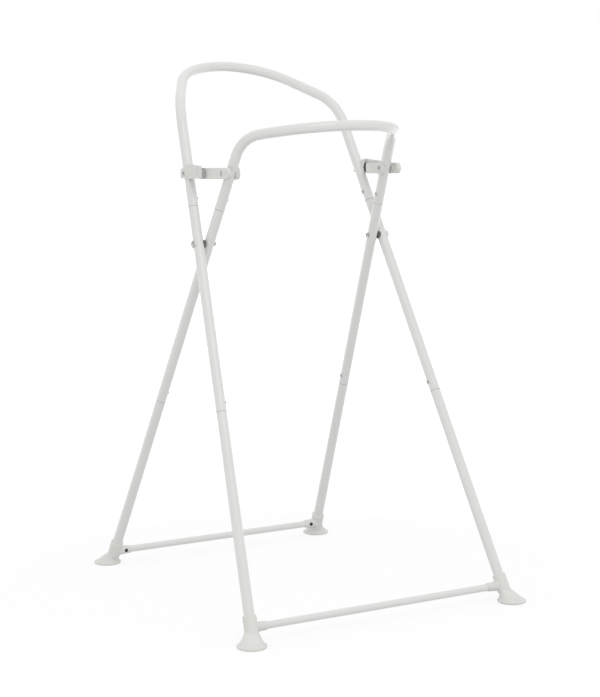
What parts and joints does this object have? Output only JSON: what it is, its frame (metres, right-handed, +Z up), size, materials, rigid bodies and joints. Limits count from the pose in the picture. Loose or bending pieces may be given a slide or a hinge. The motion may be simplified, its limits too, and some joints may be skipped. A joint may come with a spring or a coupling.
{
  "type": "baby bath stand",
  "caption": "Folding scissor stand of white round tube that holds a baby bath at standing height, with locking side struts and flared feet.",
  "frame": {"origin": "on the floor, below the middle of the stand", "axes": "+X to the stand's right seen from the outer frame's feet, +Y from the outer frame's feet to the inner frame's feet, +Z up; the scissor pivots run along X"},
  "size_m": [0.6022, 0.704, 0.9924],
  "materials": {
    "steel_tube": "satin white powder coat",
    "white_plastic": "moulded, fine grain",
    "dark_plastic": "moulded, black",
    "dark_steel": "dark zinc",
    "spring_steel": "bright"
  },
  "bodies": {
    "outer_frame": {"outer_top_bow": "steel_tube", "outer_left_leg": "steel_tube", "outer_right_leg": "steel_tube", "outer_left_lower_leg": "steel_tube", "outer_right_lower_leg": "steel_tube", "front_left_foot": "white_plastic", "front_right_foot": "white_plastic", "front_cross_bar": "steel_tube", "front_bar_screws": "dark_steel", "left_lock_clip": "white_plastic", "right_lock_clip": "white_plastic", "left_lock_catch": "dark_plastic", "right_lock_catch": "dark_plastic", "lock_clip_screws": "dark_steel", "pivot_bolts": "dark_steel", "pivot_nuts": "dark_steel", "pivot_saddles": "white_plastic", "pivot_spacers": "dark_plastic", "outer_left_upper_spring": "spring_steel", "outer_right_upper_spring": "spring_steel", "outer_left_lower_spring": "spring_steel", "outer_right_lower_spring": "spring_steel"},
    "inner_frame": {"inner_top_bow": "steel_tube", "inner_left_leg": "steel_tube", "inner_right_leg": "steel_tube", "inner_left_lower_leg": "steel_tube", "inner_right_lower_leg": "steel_tube", "rear_left_foot": "white_plastic", "rear_right_foot": "white_plastic", "rear_cross_bar": "steel_tube", "rear_bar_screws": "dark_steel", "strut_screws": "dark_steel", "strut_nuts": "dark_steel", "strut_washers": "white_plastic", "inner_left_upper_spring": "spring_steel", "inner_right_upper_spring": "spring_steel", "inner_left_lower_spring": "spring_steel", "inner_right_lower_spring": "spring_steel"},
    "left_strut": {"left_lock_strut": "white_plastic"},
    "right_strut": {"right_lock_strut": "white_plastic"},
    "outer_left_upper_button": {"outer_left_upper_button": "dark_steel"},
    "outer_right_upper_button": {"outer_right_upper_button": "dark_steel"},
    "outer_left_lower_button": {"outer_left_lower_button": "dark_steel"},
    "outer_right_lower_button": {"outer_right_lower_button": "dark_steel"},
    "inner_left_upper_button": {"inner_left_upper_button": "dark_steel"},
    "inner_right_upper_button": {"inner_right_upper_button": "dark_steel"},
    "inner_left_lower_button": {"inner_left_lower_button": "dark_steel"},
    "inner_right_lower_button": {"inner_right_lower_button": "dark_steel"}
  },
  "joints": [
    {"name": "fold", "type": "hinge", "parent": "outer_frame", "child": "inner_frame", "pos_m": [0, 0, 0.661], "axis": [-1, 0, 0], "range_deg": [0, 40]},
    {"name": "left_strut_swing", "type": "hinge", "parent": "inner_frame", "child": "left_strut", "pos_m": [-0.17944, -0.06313, 0.791], "axis": [1, 0, 0], "range_deg": [0, 112]},
    {"name": "right_strut_swing", "type": "hinge", "parent": "inner_frame", "child": "right_strut", "pos_m": [0.17944, -0.06313, 0.791], "axis": [1, 0, 0], "range_deg": [0, 112]},
    {"name": "outer_left_upper_button_press", "type": "slide", "parent": "outer_frame", "child": "outer_left_upper_button", "axis": [-0.9943, 0, 0.1063], "range_m": [0, 0.0037], "stiffness_N_per_m": 1500, "deforming": ["outer_left_upper_spring"]},
    {"name": "outer_right_upper_button_press", "type": "slide", "parent": "outer_frame", "child": "outer_right_upper_button", "axis": [0.9943, 0, 0.1063], "range_m": [0, 0.0037], "stiffness_N_per_m": 1500, "deforming": ["outer_right_upper_spring"]},
    {"name": "outer_left_lower_button_press", "type": "slide", "parent": "outer_frame", "child": "outer_left_lower_button", "axis": [-0.9943, 0, 0.1063], "range_m": [0, 0.0037], "stiffness_N_per_m": 1500, "deforming": ["outer_left_lower_spring"]},
    {"name": "outer_right_lower_button_press", "type": "slide", "parent": "outer_frame", "child": "outer_right_lower_button", "axis": [0.9943, 0, 0.1063], "range_m": [0, 0.0037], "stiffness_N_per_m": 1500, "deforming": ["outer_right_lower_spring"]},
    {"name": "inner_left_upper_button_press", "type": "slide", "parent": "inner_frame", "child": "inner_left_upper_button", "axis": [-0.9957, 0, 0.0924], "range_m": [0, 0.0037], "stiffness_N_per_m": 1500, "deforming": ["inner_left_upper_spring"]},
    {"name": "inner_right_upper_button_press", "type": "slide", "parent": "inner_frame", "child": "inner_right_upper_button", "axis": [0.9957, 0, 0.0924], "range_m": [0, 0.0037], "stiffness_N_per_m": 1500, "deforming": ["inner_right_upper_spring"]},
    {"name": "inner_left_lower_button_press", "type": "slide", "parent": "inner_frame", "child": "inner_left_lower_button", "axis": [-0.9957, 0, 0.0924], "range_m": [0, 0.0037], "stiffness_N_per_m": 1500, "deforming": ["inner_left_lower_spring"]},
    {"name": "inner_right_lower_button_press", "type": "slide", "parent": "inner_frame", "child": "inner_right_lower_button", "axis": [0.9957, 0, 0.0924], "range_m": [0, 0.0037], "stiffness_N_per_m": 1500, "deforming": ["inner_right_lower_spring"]}
  ],
  "couplings": [
    {"joint": "left_strut_swing", "follows": "fold", "ratio": 2.8},
    {"joint": "right_strut_swing", "follows": "fold", "ratio": 2.8}
  ]
}
